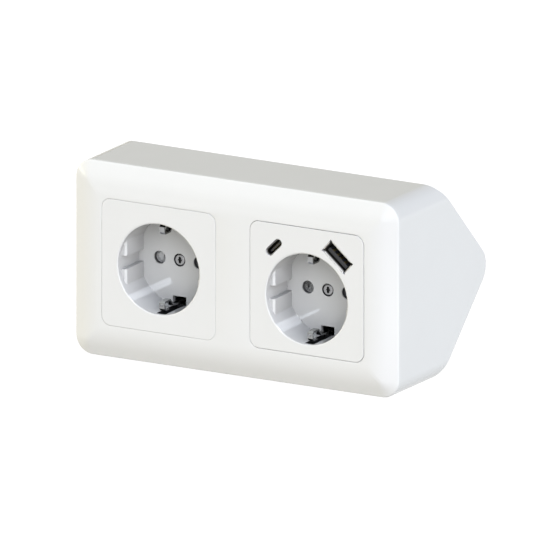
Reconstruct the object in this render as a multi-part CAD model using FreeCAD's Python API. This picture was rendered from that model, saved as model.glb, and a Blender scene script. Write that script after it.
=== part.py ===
import FreeCAD, Part
import math
import os

from FreeCAD import Vector as V

os.makedirs("parts", exist_ok=True)

# Two-gang earthed socket unit in a surface-mounted corner box.
# The right insert also carries a charger with two USB outlets.
#
# Working frame, millimetres: X to the right, Y to the back, Z up, with Y = 0 on the
# joint between the frame and the box and Z = 0 at mid height. At the end every piece
# is moved so that the origin is at the middle of the bottom of the whole unit.

# ------------------------------------------------------------------ driving sizes
GANG = 71.0            # pitch of the two inserts
W, H = 154.66, 83.66   # outline of the frame and of the box
R_OUT = 8.0            # corner radius of that outline
WALL = 2.5             # wall of the box
APEX = 75.35           # where the two 45 degree backs would meet
APEX_R = 9.1           # rounding of the rear edge
FRONT = -5.07          # front plane of the frame and the inserts
LEDGE_F = -2.87        # ledge under the insert's edge, front
STRAP_F = -1.2         # front of the steel strap

OPENING = 55.0         # opening in the frame
INSERT = 54.6          # insert plate
INSERT_R = 4.3
PLATE = 2.2            # thickness of the insert plate
WELL_R = 19.6          # mouth radius of the well
WELL_R_FLOOR = 19.35
WELL_OUT = 21.2        # outside of the well wall
WELL_FLOOR = 12.43     # plane of the well's floor
FLOOR_T = 2.0
FLAT_X = 17.0          # side flats of the well
FLAT_F = -2.25         # front face of the side flats
FLAT_CH = 0.75
PIN_X = 9.5            # pin holes
PIN_R = 2.75
WELL_DZ_R = -3.33      # the right well sits lower in its insert

BASE_F, BASE_B = 18.4, 33.0   # contact base, front and back
BACK_T = 1.4                  # its rear cover
BOSS_R = 3.5                  # centre boss that carries the shutter
SHUT_BORE = 3.57
SHUT_F, SHUT_B = 14.75, 16.75
SHUT_TRAVEL = 40.0

USB_A = (14.65, 16.75, -40.5)   # centre in the insert and angle of the long axis
USB_C = (-15.77, 16.97, 45.0)

XL, XR = -GANG / 2, GANG / 2
FLOOR_B = WELL_FLOOR + FLOOR_T


# ------------------------------------------------------------------ helpers
def box(x0, x1, y0, y1, z0, z1):
    return Part.makeBox(x1 - x0, y1 - y0, z1 - z0, V(x0, y0, z0))


def cyl_y(x, z, r, y0, y1):
    return Part.makeCylinder(r, y1 - y0, V(x, y0, z), V(0, 1, 0))


def cyl(p, d, r, h):
    return Part.makeCylinder(r, h, V(*p), V(*d))


def rrect(w, h, r, y, cx=0.0, cz=0.0):
    """Closed wire of a rounded rectangle in the plane Y = y."""
    a, b = w / 2 - r, h / 2 - r
    k = r * math.sqrt(0.5)
    edges = []
    pts = [
        ((a, -b - r), (a + k, -b - k), (a + r, -b)),
        ((a + r, b), (a + k, b + k), (a, b + r)),
        ((-a, b + r), (-a - k, b + k), (-a - r, b)),
        ((-a - r, -b), (-a - k, -b - k), (-a, -b - r)),
    ]
    prev = pts[-1][2]
    for p0, pm, p1 in pts:
        q = [V(cx + p[0], y, cz + p[1]) for p in (prev, p0, pm, p1)]
        edges.append(Part.LineSegment(q[0], q[1]).toShape())
        edges.append(Part.Arc(q[1], q[2], q[3]).toShape())
        prev = p1
    return Part.Wire(edges)


def rprism(w, h, r, y0, y1, cx=0.0, cz=0.0):
    return Part.Face(rrect(w, h, r, y0, cx, cz)).extrude(V(0, y1 - y0, 0))


def poly_yz(points, x0, x1):
    """Prism along X from (Y, Z) points."""
    ps = [V(x0, y, z) for y, z in points]
    return Part.Face(Part.makePolygon(ps + [ps[0]])).extrude(V(x1 - x0, 0, 0))


def poly_xy(points, z0, z1):
    """Prism along Z from (X, Y) points."""
    ps = [V(x, y, z0) for x, y in points]
    return Part.Face(Part.makePolygon(ps + [ps[0]])).extrude(V(0, 0, z1 - z0))


def fuse(*s):
    out = s[0]
    for t in s[1:]:
        out = out.fuse(t)
    return out.removeSplitter()


def strip_yz(line, t, x0, x1):
    """Sheet of thickness t that follows a polyline of (Y, Z) points."""
    left, right = [], []
    n = len(line)
    for i in range(n):
        a = line[max(i - 1, 0)]
        b = line[i]
        c = line[min(i + 1, n - 1)]
        d1 = (b[0] - a[0], b[1] - a[1])
        d2 = (c[0] - b[0], c[1] - b[1])
        if i == 0:
            d1 = d2
        if i == n - 1:
            d2 = d1
        l1, l2 = math.hypot(*d1), math.hypot(*d2)
        n1 = (-d1[1] / l1, d1[0] / l1)
        n2 = (-d2[1] / l2, d2[0] / l2)
        m = (n1[0] + n2[0], n1[1] + n2[1])
        s = (t / 2) * 2 / (m[0] ** 2 + m[1] ** 2)
        left.append((b[0] + m[0] * s, b[1] + m[1] * s))
        right.append((b[0] - m[0] * s, b[1] - m[1] * s))
    return poly_yz(left + right[::-1], x0, x1)


def turn(shape, deg, cx, cz):
    """Place a shape that is drawn about the Y axis: long axis X turned towards Z."""
    s = shape.copy()
    s.rotate(V(0, 0, 0), V(0, 1, 0), -deg)
    s.translate(V(cx, 0, cz))
    return s


def wedge(apex, radius, x):
    """Everything in front of two 45 degree planes that meet in a rounded edge."""
    yc = apex - radius * math.sqrt(2)
    k = radius * math.sqrt(0.5)
    p = [V(-x, -1, -60), V(-x, -1, 60), V(-x, apex - 60, 60), V(-x, yc + k, k)]
    q = [V(-x, yc + k, -k), V(-x, apex - 60, -60)]
    e = [Part.LineSegment(p[i], p[i + 1]).toShape() for i in range(3)]
    e.append(Part.Arc(p[3], V(-x, yc + radius, 0), q[0]).toShape())
    e.append(Part.LineSegment(q[0], q[1]).toShape())
    e.append(Part.LineSegment(q[1], p[0]).toShape())
    return Part.Face(Part.Wire(e)).extrude(V(2 * x, 0, 0))


NODES = {}

# ------------------------------------------------------------------ corner box
outer = rprism(W, H, R_OUT, 0, APEX).common(wedge(APEX, APEX_R, 90))
inner = rprism(W - 2 * WALL, H - 2 * WALL, R_OUT - WALL, -0.5, APEX).common(
    wedge(APEX - WALL * math.sqrt(2), APEX_R - WALL, 90)
)
shellbox = outer.cut(inner)
adds, cuts = [], []
for x in (XL, XR):
    for s in (1, -1):
        adds.append(cyl_y(x, 30.0 * s, 4.2, 0, 17))
        z0, z1 = sorted((30.0 * s, 40.5 * s))
        adds.append(box(x - 1.1, x + 1.1, 1.6, 17, z0, z1))
        cuts.append(cyl_y(x, 30.0 * s, 1.5, -1, 13))
# stiffening ribs along the inside of the rear edge
for x in (-50.0, -21.0, 21.0, 50.0):
    adds.append(poly_yz([(60.0, -11.8), (71.0, -3.0), (71.0, 3.0), (60.0, 11.8)], x - 0.9, x + 0.9))
n_up = (0, math.sqrt(0.5), math.sqrt(0.5))
n_dn = (0, math.sqrt(0.5), -math.sqrt(0.5))
SCREW_Y, SCREW_Z = 54.0, APEX - 54.0
for x in (-66.0, 66.0):
    for s, n in ((1, n_up), (-1, n_dn)):
        p = (x, SCREW_Y - 8 * n[1], s * SCREW_Z - 8 * n[2])
        cuts.append(cyl(p, n, 2.25, 12))
GY = 56.0
GZ = APEX - GY
gp = (0, GY - 8 * n_up[1], GZ - 8 * n_up[2])
cuts.append(cyl(gp, n_up, 8.0, 12))
shellbox = fuse(shellbox, *adds).common(outer)
for c in cuts:
    shellbox = shellbox.cut(c)
NODES["corner_box"] = shellbox.removeSplitter()


def on_slope(d):
    """Point on the grommet's axis, d behind the outer face (negative is inside)."""
    return (0, GY + d * n_up[1], GZ + d * n_up[2])


gr = fuse(
    cyl(on_slope(-WALL), n_up, 8.0, WALL - 0.3),
    cyl(on_slope(-WALL - 1.2), n_up, 10.0, 1.2),
)
gr = gr.cut(cyl(on_slope(-WALL - 2), n_up, 6.2, 2.9))
gr = gr.cut(cyl(on_slope(-0.9), n_up, 6.2, 1.0))
nipple = Part.makeCone(3.4, 1.4, 1.8, V(*on_slope(-1.5)), V(*[-c for c in n_up]))
gr = gr.fuse(nipple)
NODES["cable_grommet"] = gr.removeSplitter()

# ------------------------------------------------------------------ frame
SLOPE, EDGE_R, FLAT_FROM, LAND = math.radians(24.5), 0.93, 4.0, 13.9
ARC_R = (LAND - FLAT_FROM) / math.sin(SLOPE)
EDGE_I = EDGE_R * (1 - math.sin(SLOPE))


def frame_y(i):
    """Front surface of the frame at a distance i inside its outline: a small round at
    the outline, a straight slope, and a long arc that runs out flat at the openings."""
    if i >= FLAT_FROM:
        d = max(0.0, LAND - i)
        return FRONT + ARC_R - math.sqrt(ARC_R ** 2 - d * d)
    y_arc = FRONT + ARC_R * (1 - math.cos(SLOPE))
    if i >= EDGE_I:
        return y_arc + math.tan(SLOPE) * (FLAT_FROM - i)
    yc = y_arc + math.tan(SLOPE) * (FLAT_FROM - EDGE_I) + EDGE_R * math.cos(SLOPE)
    return yc - math.sqrt(max(0.0, EDGE_R ** 2 - (EDGE_R - i) ** 2))


wires = [rrect(W, H, R_OUT, 0.0)]
for i in (0.0, 0.05, 0.17, 0.34, EDGE_I, 4.0, 5.6, 7.2, 8.8, 10.4, 12.0, 13.0, 13.9):
    wires.append(rrect(W - 2 * i, H - 2 * i, max(0.5, R_OUT - i), frame_y(i)))
frame = Part.makeLoft(wires, True, True)
# hollow behind: strap space, and a deeper channel round the openings
frame = frame.cut(rprism(W - 7.0, H - 7.0, 4.0, STRAP_F, 1.0))
ring = rprism(W - 12.0, H - 12.0, 2.5, -2.2, 1.0)
ring = ring.cut(rprism(132.0, 59.6, 4.0, -3.0, 1.5))
frame = frame.cut(ring)
for x in (XL, XR):
    frame = frame.cut(rprism(OPENING, OPENING, 4.5, FRONT - 1, LEDGE_F, x))
    frame = frame.cut(rprism(50.6, 50.6, 2.0, FRONT - 1, 1.0, x))
    for s in (1, -1):
        frame = frame.cut(cyl_y(x, 30.0 * s, 2.8, -2.6, 1.0))
# lip that locates the frame in the mouth of the box
lip = rprism(W - 5.4, H - 5.4, 5.3, -1.0, 1.2).cut(rprism(W - 7.4, H - 7.4, 4.3, -2.0, 2.0))
lip_root = rprism(W - 5.4, H - 5.4, 5.3, -1.3, 0.0).cut(rprism(W - 7.4, H - 7.4, 4.3, -2.0, 2.0))
frame = fuse(frame, lip, lip_root)
NODES["two_gang_frame"] = frame


# ------------------------------------------------------------------ insert with its well
def flat_block(cx, cz, s):
    pts = [
        (FLAT_X, WELL_FLOOR + 0.5),
        (FLAT_X, FLAT_F + FLAT_CH),
        (FLAT_X + FLAT_CH, FLAT_F),
        (22.0, FLAT_F),
        (22.0, WELL_FLOOR + 0.5),
    ]
    b = poly_xy([(cx + s * x, y) for x, y in pts], cz - 12, cz + 12)
    g = poly_yz(
        [
            (FLAT_F - 1, cz + 2.88),
            (WELL_FLOOR + 1, cz + 2.6),
            (WELL_FLOOR + 1, cz - 2.6),
            (FLAT_F - 1, cz - 2.88),
        ],
        min(cx + s * 16, cx + s * 23),
        max(cx + s * 16, cx + s * 23),
    )
    return b.cut(g)


def usb_a_window(cx):
    w = rprism(13.9, 6.5, 0.45, FRONT - 1, 0)
    return turn(w, USB_A[2], cx + USB_A[0], USB_A[1])


def usb_c_window(cx):
    w = rprism(9.3, 3.6, 1.79, FRONT - 1, 0)
    return turn(w, USB_C[2], cx + USB_C[0], USB_C[1])


def socket_cover(cx, cz, usb):
    plate = Part.makeLoft(
        [
            rrect(INSERT - 0.5, INSERT - 0.5, INSERT_R - 0.25, FRONT, cx),
            rrect(INSERT, INSERT, INSERT_R, FRONT + 0.25, cx),
            rrect(INSERT, INSERT, INSERT_R, FRONT + PLATE, cx),
        ],
        True,
        True,
    )
    skirt = rprism(49.8, 49.8, 1.5, FRONT + 1.0, -1.3, cx).cut(
        rprism(47.8, 47.8, 1.0, FRONT, 0, cx)
    )
    body = fuse(plate, skirt, cyl_y(cx, cz, WELL_OUT, FRONT + 1.0, FLOOR_B))
    cav = Part.makeCone(
        WELL_R, WELL_R_FLOOR, WELL_FLOOR - FRONT, V(cx, FRONT, cz), V(0, 1, 0)
    )
    cav = cav.fuse(cyl_y(cx, cz, WELL_R, FRONT - 1, FRONT))
    for s in (1, -1):
        cav = cav.cut(flat_block(cx, cz, s))
    body = body.cut(cav)
    # softened mouth
    body = body.cut(
        Part.makeCone(WELL_R + 0.3, WELL_R, 0.3, V(cx, FRONT, cz), V(0, 1, 0))
    )
    for s in (1, -1):
        body = body.cut(cyl_y(cx + s * PIN_X, cz, PIN_R, WELL_FLOOR - 1, FLOOR_B + 1))
        a, b = sorted((s * 15.6, s * 19.6))
        body = body.cut(box(cx - 3.2, cx + 3.2, WELL_FLOOR - 0.2, FLOOR_B + 1, cz + a, cz + b))
        a, b = sorted((s * 17.8, s * 22.0))
        body = body.cut(box(cx - 2.2, cx + 2.2, -2.8, FLOOR_B + 1, cz + a, cz + b))
    body = body.cut(cyl_y(cx, cz, PIN_R, WELL_FLOOR - 1, WELL_FLOOR + 1.2))
    body = body.cut(cyl_y(cx, cz, 1.7, WELL_FLOOR - 1, FLOOR_B + 1))
    if usb:
        body = body.cut(usb_a_window(cx)).cut(usb_c_window(cx))
    return body.removeSplitter()


# ------------------------------------------------------------------ steel strap
def strap(cx, cz):
    p = rprism(70.0, 70.0, 1.0, STRAP_F, 0.0, cx)
    for sx in (1, -1):
        for sz in (1, -1):
            c = [(35.5, 28.0), (35.5, 35.5), (28.0, 35.5)]
            ps = [V(cx + sx * a, -2, sz * b) for a, b in c]
            p = p.cut(Part.Face(Part.makePolygon(ps + [ps[0]])).extrude(V(0, 3, 0)))
    p = p.cut(rprism(52.0, 52.0, 2.0, -2, 1, cx))
    for s in (1, -1):
        a, b = sorted((cx + s * 22.0, cx + s * 27.0))
        p = p.fuse(box(a, b, STRAP_F, 0.0, cz - 6.5, cz + 6.5))
        for z in (-3.0, 3.0):
            p = p.cut(cyl_y(cx + s * 23.1, cz + z, 1.05, -2, 1))
        p = p.cut(rprism(9.0, 3.4, 1.69, -2, 1, cx, 30.0 * s))
        p = p.cut(rprism(3.4, 9.0, 1.69, -2, 1, cx + 30.0 * s, 20.0))
        p = p.cut(rprism(3.4, 9.0, 1.69, -2, 1, cx + 30.0 * s, -20.0))
    return p.removeSplitter()


# ------------------------------------------------------------------ contact base
def contact_base(cx, cz):
    b = box(cx - 20.5, cx + 20.5, BASE_F, BASE_B, cz - 16.5, cz + 16.5)
    parts = [cyl_y(cx, cz, BOSS_R, FLOOR_B, BASE_F + 1)]
    for s in (1, -1):
        a, c = sorted((cx + s * 20.0, cx + s * 24.2))
        parts.append(box(a, c, BASE_F, BASE_F + 2.4, cz - 6, cz + 6))
        a, c = sorted((cx + s * 21.9, cx + s * 24.2))
        parts.append(box(a, c, 0.0, BASE_F + 1, cz - 6, cz + 6))
        for z in (-3.0, 3.0):
            parts.append(cyl_y(cx + s * 23.1, cz + z, 1.0, STRAP_F, 1.0))
        # stop for the shutter
        t = math.radians(24.6)
        parts.append(
            cyl_y(cx + s * 11.5 * math.cos(t), cz + s * 11.5 * math.sin(t), 1.0, 15.1, BASE_F + 1)
        )
    b = fuse(b, *parts)
    for s in (1, -1):
        x = cx + s * PIN_X
        b = b.cut(box(x - 4.4, x + 4.4, BASE_F + 1.5, BASE_B + 1, cz - 5, cz + 14.5))
        b = b.cut(cyl_y(x, cz, 3.4, BASE_F - 1, BASE_F + 2))
        b = b.cut(cyl((x, 26.5, cz + 14), (0, 0, 1), 2.6, 4))
        # lightening pocket below each contact
        b = b.cut(box(x - 4.4, x + 4.4, BASE_F + 1.5, BASE_B + 1, cz - 14.5, cz - 6.5))
    b = b.cut(cyl_y(cx, cz, 1.5, FLOOR_B - 1, 28.0))
    b = b.cut(cyl_y(cx, cz, 1.3, 30.0, BASE_B + 1))
    b = b.cut(cyl_y(cx + 4.4, cz, 0.35, BASE_F - 1, BASE_F + 1.2))
    return b.removeSplitter()


def rear_cover(cx, cz):
    p = rprism(41.0, 33.0, 1.5, BASE_B, BASE_B + BACK_T, cx, cz)
    for s in (1, -1):
        p = p.cut(cyl_y(cx + s * PIN_X, cz + 9.8, 1.6, BASE_B - 1, BASE_B + 3))
        p = p.cut(cyl_y(cx + s * 15.5, cz + 9.8, 1.6, BASE_B - 1, BASE_B + 3))
    p = p.cut(cyl_y(cx, cz, 1.35, BASE_B - 1, BASE_B + 3))
    # locating ribs that enter the pockets of the base
    for s in (1, -1):
        x = cx + s * PIN_X
        p = p.fuse(box(x - 4.2, x + 4.2, BASE_B - 1.2, BASE_B + 0.2, cz - 14.2, cz - 6.8))
    return p.removeSplitter()


def contact(cx, cz, s):
    x = cx + s * PIN_X
    parts = [
        box(x - 3.1, x - 2.3, 20.3, 32.2, cz - 3.5, cz + 3.5),
        box(x + 2.3, x + 3.1, 20.3, 32.2, cz - 3.5, cz + 3.5),
        box(x - 3.1, x + 3.1, 32.0, 33.0, cz - 3.5, cz + 8.0),
        box(x - 4.3, x + 4.3, 23.5, 33.0, cz + 6.6, cz + 13.2),
    ]
    c = fuse(*parts)
    # the grips close towards the pin and flare at the mouth
    for k in (1, -1):
        c = c.cut(
            poly_xy(
                [(x + k * 2.2, 20.0), (x + k * 2.95, 20.0), (x + k * 2.2, 22.0)],
                cz - 4,
                cz + 4,
            )
        )
    c = c.cut(cyl_y(x, cz + 9.8, 1.5, 24.8, 34))
    c = c.cut(cyl((x, 26.5, cz + 9.8), (0, 0, 1), 1.3, 4))
    return c.removeSplitter()


def earth_strip(cx, cz):
    half = [
        (34.8, 0.0),
        (34.8, 18.0),
        (12.6, 18.05),
        (5.5, 17.3),
        (2.9, 14.7),
        (-1.1, 14.7),
        (-1.75, 15.5),
        (-1.75, 17.4),
        (-1.0, 18.2),
        (1.8, 18.35),
    ]
    line = [(y, -z) for y, z in half[:0:-1]] + half
    line = [(y, cz + z) for y, z in line if not (y == 34.8 and z == 0.0)]
    s = strip_yz(line, 0.8, cx - 4.0, cx + 4.0)
    keep = box(cx - 1.25, cx + 1.25, -5, 17.0, cz - 30, cz + 30).fuse(
        box(cx - 4.0, cx + 4.0, 17.0, 40, cz - 30, cz + 30)
    )
    s = s.common(keep)
    s = s.cut(cyl_y(cx, cz, 1.35, 33, 37))
    return s.removeSplitter()


def shutter(cx, cz):
    s = cyl_y(cx, cz, 6.0, SHUT_F, SHUT_B)
    disc = cyl_y(cx, cz, 13.4, SHUT_F, SHUT_B)
    t = math.radians(19.0)
    for k in (1, -1):
        pts = [(0, 0)]
        for a in (-t, t):
            pts.append((k * 20 * math.cos(a), k * 20 * math.sin(a)))
        ps = [V(cx + a, SHUT_F, cz + b) for a, b in pts]
        sector = Part.Face(Part.makePolygon(ps + [ps[0]])).extrude(V(0, SHUT_B - SHUT_F, 0))
        blade = disc.common(sector)
        # the ramp that a pin pushes on
        ramp = poly_yz(
            [
                (SHUT_F - 0.5, cz - k * 4.6),
                (SHUT_F, cz - k * 4.6),
                (SHUT_F + 1.2, cz + k * 4.6),
                (SHUT_F - 0.5, cz + k * 4.6),
            ],
            min(cx + k * 6.4, cx + k * 14),
            max(cx + k * 6.4, cx + k * 14),
        )
        s = s.fuse(blade.cut(ramp))
    s = s.cut(cyl_y(cx, cz, SHUT_BORE, SHUT_F - 1, SHUT_B + 1))
    s = s.cut(cyl_y(cx - 4.4, cz, 0.35, SHUT_B - 1.2, SHUT_B + 1))
    return s.removeSplitter()


def shutter_spring(cx, cz):
    r = 4.4
    hx = Part.makeHelix(0.4, 1.0, r)
    prof = Part.Wire(Part.makeCircle(0.17, V(r, 0, 0), V(0, 1, 0)))
    coil = Part.Wire(hx).makePipeShell([prof], True, True)
    # the helix runs along Z from (r, 0, 0); lay it along Y
    coil.rotate(V(0, 0, 0), V(1, 0, 0), -90)
    coil.translate(V(cx, 17.15, cz))
    # straight ends that hook into the shutter and the base, half a turn apart
    end_a = cyl_y(cx + r, cz, 0.2, 15.9, 17.3)
    end_b = cyl_y(cx - r, cz, 0.2, 18.0, 19.2)
    out = coil.fuse([end_a, end_b])
    out.rotate(V(cx, 0, cz), V(0, 1, 0), 180)
    return out


def slotted_head_cut(x, z, y, r, deep, cross=True):
    c = box(x - 0.45, x + 0.45, y - 1, y + deep, z - r, z + r)
    if cross:
        c = c.fuse(box(x - r, x + r, y - 1, y + deep, z - 0.45, z + 0.45))
    return c


def cover_screw(cx, cz):
    s = fuse(
        cyl_y(cx, cz, 2.35, WELL_FLOOR + 0.2, WELL_FLOOR + 1.2),
        cyl_y(cx, cz, 1.45, WELL_FLOOR + 1.0, 26.0),
    )
    s = s.cut(slotted_head_cut(cx, cz, WELL_FLOOR + 0.2, 1.55, 0.7))
    tip = Part.makeCone(1.45, 0.6, 1.2, V(cx, 26.0, cz), V(0, 1, 0))
    return s.fuse(tip).removeSplitter()


def strap_screw(x, z):
    s = fuse(
        cyl_y(x, z, 2.5, -2.5, STRAP_F),
        cyl_y(x, z, 1.45, STRAP_F - 0.1, 11.0),
    )
    s = s.cut(slotted_head_cut(x, z, -2.5, 1.6, 0.7))
    return s.removeSplitter()


def terminal_screws(cx, cz):
    out = []
    for s in (1, -1):
        x = cx + s * PIN_X
        a = fuse(
            cyl((x, 26.5, cz + 14.7), (0, 0, 1), 2.3, 1.6),
            cyl((x, 26.5, cz + 10.8), (0, 0, 1), 1.2, 4.0),
        )
        a = a.cut(box(x - 2.5, x + 2.5, 26.1, 26.9, cz + 15.6, cz + 17))
        out.append(a.removeSplitter())
    e = fuse(cyl_y(cx, cz, 2.6, 35.2, 36.05), cyl_y(cx, cz, 1.25, 30.6, 35.3))
    e = e.cut(box(cx - 3, cx + 3, 35.6, 37, cz - 0.4, cz + 0.4))
    out.append(e.removeSplitter())
    return Part.makeCompound(out)


for side, cx, cz in (("left", XL, 0.0), ("right", XR, WELL_DZ_R)):
    NODES[side + "_socket_cover"] = socket_cover(cx, cz, side == "right")
    NODES[side + "_mounting_strap"] = strap(cx, cz)
    NODES[side + "_contact_base"] = contact_base(cx, cz)
    NODES[side + "_rear_cover"] = rear_cover(cx, cz)
    NODES[side + "_live_contact"] = contact(cx, cz, -1)
    NODES[side + "_neutral_contact"] = contact(cx, cz, 1)
    NODES[side + "_earth_strip"] = earth_strip(cx, cz)
    NODES[side + "_shutter"] = shutter(cx, cz)
    NODES[side + "_shutter_spring"] = shutter_spring(cx, cz)
    NODES[side + "_terminal_screws"] = terminal_screws(cx, cz)

NODES["cover_screws"] = Part.makeCompound([cover_screw(XL, 0.0), cover_screw(XR, WELL_DZ_R)])
NODES["strap_screws"] = Part.makeCompound(
    [strap_screw(x, z) for x in (XL, XR) for z in (30.0, -30.0)]
)

# ------------------------------------------------------------------ USB outlets
BOARD_F, BOARD_B = 9.0, 10.6


def usb_a_parts():
    cx, cz, a = XR + USB_A[0], USB_A[1], USB_A[2]
    tw, th = 12.3, 4.75
    y0 = FRONT + 1.0
    tube = rprism(tw + 0.6, th + 0.6, 0.5, y0, BOARD_F).cut(
        rprism(tw, th, 0.25, y0 - 1, BOARD_F - 0.5)
    )
    lips = []
    for s in (1, -1):
        # long sides, then short sides; the corners stay open
        p = [
            V(-tw / 2 + 0.3, y0, s * th / 2),
            V(-tw / 2 + 0.3, y0 - 0.9, s * (th / 2 + 0.55)),
            V(-tw / 2 + 0.3, y0 - 0.9, s * (th / 2 + 0.8)),
            V(-tw / 2 + 0.3, y0 + 0.3, s * (th / 2 + 0.3)),
            V(-tw / 2 + 0.3, y0 + 0.3, s * th / 2),
        ]
        lips.append(Part.Face(Part.makePolygon(p + [p[0]])).extrude(V(tw - 0.6, 0, 0)))
        q = [
            V(s * tw / 2, y0, -th / 2 + 0.3),
            V(s * (tw / 2 + 0.5), y0 - 0.9, -th / 2 + 0.3),
            V(s * (tw / 2 + 0.75), y0 - 0.9, -th / 2 + 0.3),
            V(s * (tw / 2 + 0.3), y0 + 0.3, -th / 2 + 0.3),
            V(s * tw / 2, y0 + 0.3, -th / 2 + 0.3),
        ]
        lips.append(Part.Face(Part.makePolygon(q + [q[0]])).extrude(V(0, 0, th - 0.6)))
    shell = fuse(tube, *lips)
    tongue = fuse(
        box(-5.6, 5.6, FRONT + 1.9, 6.5, -2.05, -0.4),
        rprism(tw, th, 0.25, 6.0, BOARD_F - 0.5),
    )
    pads = []
    for x in (-3.5, -1.0, 1.0, 3.5):
        pads.append(box(x - 0.55, x + 0.55, FRONT + 2.4, 6.0, -0.4, -0.22))
    return [turn(s, a, cx, cz) for s in (shell, tongue, Part.makeCompound(pads))]


def usb_c_parts():
    cx, cz, a = XR + USB_C[0], USB_C[1], USB_C[2]
    y0 = FRONT + 0.75
    shell = rprism(9.0, 3.3, 1.64, y0, BOARD_F).cut(rprism(8.4, 2.7, 1.34, y0 - 1, BOARD_F - 0.5))
    tongue = fuse(
        box(-3.35, 3.35, FRONT + 2.0, 3.4, -0.35, 0.35),
        rprism(8.4, 2.7, 1.34, 3.2, BOARD_F - 0.5),
    )
    pads = []
    for x in (-2.5, -1.5, -0.5, 0.5, 1.5, 2.5):
        for s in (1, -1):
            z0, z1 = sorted((s * 0.35, s * 0.47))
            pads.append(box(x - 0.2, x + 0.2, FRONT + 2.4, 3.2, z0, z1))
    return [turn(s, a, cx, cz) for s in (shell, tongue, Part.makeCompound(pads))]


NODES["usb_a_shell"], NODES["usb_a_tongue"], NODES["usb_a_contacts"] = usb_a_parts()
NODES["usb_c_shell"], NODES["usb_c_tongue"], NODES["usb_c_contacts"] = usb_c_parts()

LINK_X, LINK_Z = (-5.0, -2.0, 2.0, 5.0), 19.6
board = box(XR - 24.4, XR + 24.4, BOARD_F, BOARD_B, 8.0, 25.4).cut(
    cyl_y(XR, WELL_DZ_R, 21.9, BOARD_F - 1, BOARD_B + 1)
)
for x in LINK_X:
    board = board.cut(cyl_y(XR + x, LINK_Z, 0.45, BOARD_F - 1, BOARD_B + 1))
NODES["usb_port_board"] = board

# ------------------------------------------------------------------ charger behind the right base
LID_F, LID_B, TRAY_B = 36.2, 37.4, 49.2
CX0, CX1, CZ0, CZ1 = XR - 18.0, XR + 18.0, -17.0, 21.5
lid = box(CX0, CX1, LID_F, LID_B, CZ0, CZ1)
for x in (-14.0, 14.0):
    for z in (-12.0, 8.0):
        lid = lid.fuse(cyl_y(XR + x, z, 1.6, BASE_B + BACK_T, LID_F + 0.5))
        lid = lid.fuse(cyl_y(XR + x, z, 1.2, LID_B - 0.5, 38.6))
for x in LINK_X:
    lid = lid.cut(cyl_y(XR + x, LINK_Z, 0.6, LID_F - 1, LID_B + 1))
NODES["charger_lid"] = lid.removeSplitter()
tray = box(CX0, CX1, LID_B, TRAY_B, CZ0, CZ1).cut(
    box(CX0 + 1.2, CX1 - 1.2, LID_B - 1, TRAY_B - 1.2, CZ0 + 1.2, CZ1 - 1.2)
)
for k in range(7):
    x = XR - 10.5 + 3.5 * k
    tray = tray.cut(box(x - 0.6, x + 0.6, TRAY_B - 2, TRAY_B + 1, -9.0, 3.0))
NODES["charger_tray"] = tray
pb = box(CX0 + 1.6, CX1 - 1.6, 38.6, 40.2, CZ0 + 1.6, CZ1 - 1.3)
for x in LINK_X:
    pb = pb.cut(cyl_y(XR + x, LINK_Z, 0.45, 38, 41))
NODES["power_board"] = pb
NODES["board_link_pins"] = Part.makeCompound(
    [cyl_y(XR + x, LINK_Z, 0.4, BOARD_F - 1.0, 41.4) for x in LINK_X]
)
# transformer: ferrite core round a wound bobbin
tx, tz = XR - 7.0, -6.0
core = box(tx - 7, tx + 7, 40.2, 47.0, tz - 6.5, tz + 6.5)
core = core.cut(box(tx - 4.9, tx + 4.9, 40.0, 47.5, tz - 4.2, tz + 4.2))
bobbin = fuse(
    cyl((tx, 43.6, tz - 4.2), (0, 0, 1), 3.3, 8.4),
    cyl((tx, 43.6, tz - 4.2), (0, 0, 1), 3.4, 0.8),
    cyl((tx, 43.6, tz + 3.4), (0, 0, 1), 3.4, 0.8),
)
NODES["transformer"] = fuse(core, bobbin)
NODES["capacitors"] = Part.makeCompound(
    [
        cyl_y(XR + 7.0, -10.0, 3.2, 40.2, 47.2),
        cyl_y(XR + 13.0, -4.5, 2.6, 40.2, 46.2),
        cyl_y(XR + 6.5, 12.5, 3.2, 40.2, 46.8),
    ]
)
NODES["choke"] = fuse(
    Part.makeTorus(3.3, 1.5, V(XR - 7.5, 42.4, 11.5), V(0, 1, 0)),
    cyl_y(XR - 7.5, 11.5, 3.0, 40.2, 41.2).cut(cyl_y(XR - 7.5, 11.5, 1.9, 40, 42)),
)
chips = []
for x, z, a, b in ((6.5, 1.5, 5.0, 4.0), (13.0, 4.0, 3.0, 3.0), (-1.0, 6.5, 4.0, 3.0)):
    body = box(XR + x - a / 2, XR + x + a / 2, 40.35, 41.7, z - b / 2, z + b / 2)
    legs = [
        box(XR + x - a / 2 - 0.6, XR + x + a / 2 + 0.6, 40.2, 40.5, z + q - 0.2, z + q + 0.2)
        for q in (-b / 3, 0.0, b / 3)
    ]
    chips.append(fuse(body, *legs))
NODES["controller_chips"] = Part.makeCompound(chips)

# ------------------------------------------------------------------ into the part's own frame
Y_REAR = APEX - APEX_R * math.sqrt(2) + APEX_R
SHIFT = V(0, -(FRONT + Y_REAR) / 2, H / 2)

if __name__ == "__main__":
    print("shift", SHIFT)
    for name, s in NODES.items():
        t = s.copy()
        t.translate(SHIFT)
        t.exportStep("parts/%s.step" % name)
        print("%-24s valid %s solids %d volume %.1f" % (name, t.isValid(), len(t.Solids), t.Volume))
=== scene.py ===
import math

import bmesh
import bpy
from mathutils import Matrix, Vector


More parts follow.
